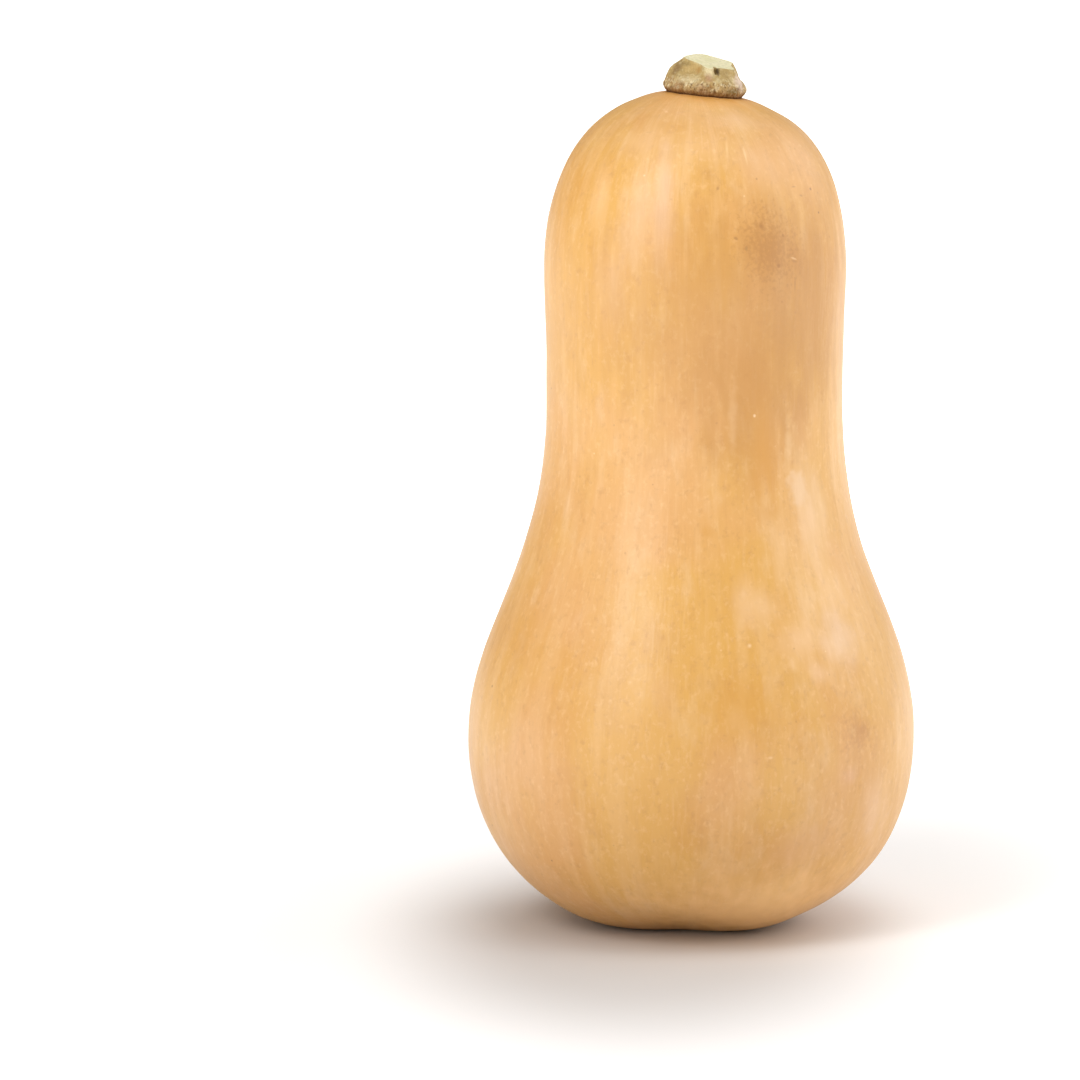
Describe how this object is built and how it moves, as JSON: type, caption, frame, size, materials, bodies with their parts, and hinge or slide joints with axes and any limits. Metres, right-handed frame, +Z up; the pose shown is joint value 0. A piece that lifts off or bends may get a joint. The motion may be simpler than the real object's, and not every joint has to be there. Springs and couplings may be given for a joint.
{
  "type": "butternut squash",
  "caption": "Whole butternut squash standing on its blossom end, with a rounded seed bulb, a thick neck and a short corky cut stem.",
  "frame": {"origin": "centre of the small flat spot on the blossom end that the squash stands on", "axes": "+Z up along the squash, from the blossom end to the stem; -Y to the front, the side that faces the viewer; +X to the viewer's right"},
  "size_m": [0.1256, 0.1239, 0.2424],
  "materials": {
    "rind": "satin, smooth waxy rind",
    "cork": "matt, dry and corky"
  },
  "bodies": {
    "root": {"fruit": "rind", "stem": "cork"}
  },
  "joints": []
}
